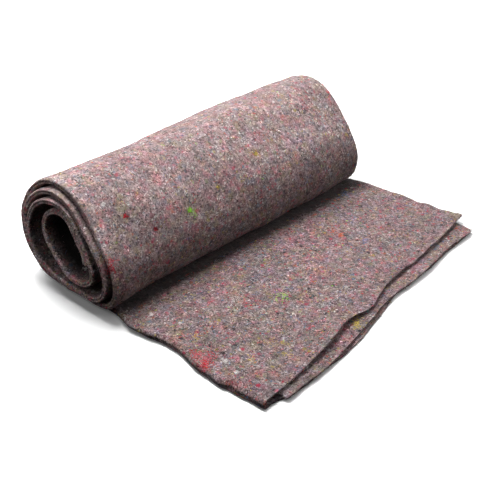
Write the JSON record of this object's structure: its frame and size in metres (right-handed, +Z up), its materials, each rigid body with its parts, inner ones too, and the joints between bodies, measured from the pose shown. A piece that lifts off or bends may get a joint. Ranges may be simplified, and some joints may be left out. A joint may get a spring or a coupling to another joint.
{
  "type": "moving blanket",
  "caption": "Needled recycled-felt moving blanket, folded lengthwise in three and rolled up, with its last stretch lying flat beside the roll.",
  "frame": {"origin": "centre of the blanket's footprint, on the surface it lies on", "axes": "+X along the roll towards its far end, +Y from the flat free end towards the roll, +Z up"},
  "size_m": [0.53, 0.4555, 0.1736],
  "materials": {
    "recycled_felt": "matte needled felt of mixed grey, mauve and brown waste fibre with bright flecks, fuzzy on both faces, cut edges unhemmed"
  },
  "bodies": {
    "root": {"moving_blanket": "recycled_felt"}
  },
  "joints": []
}
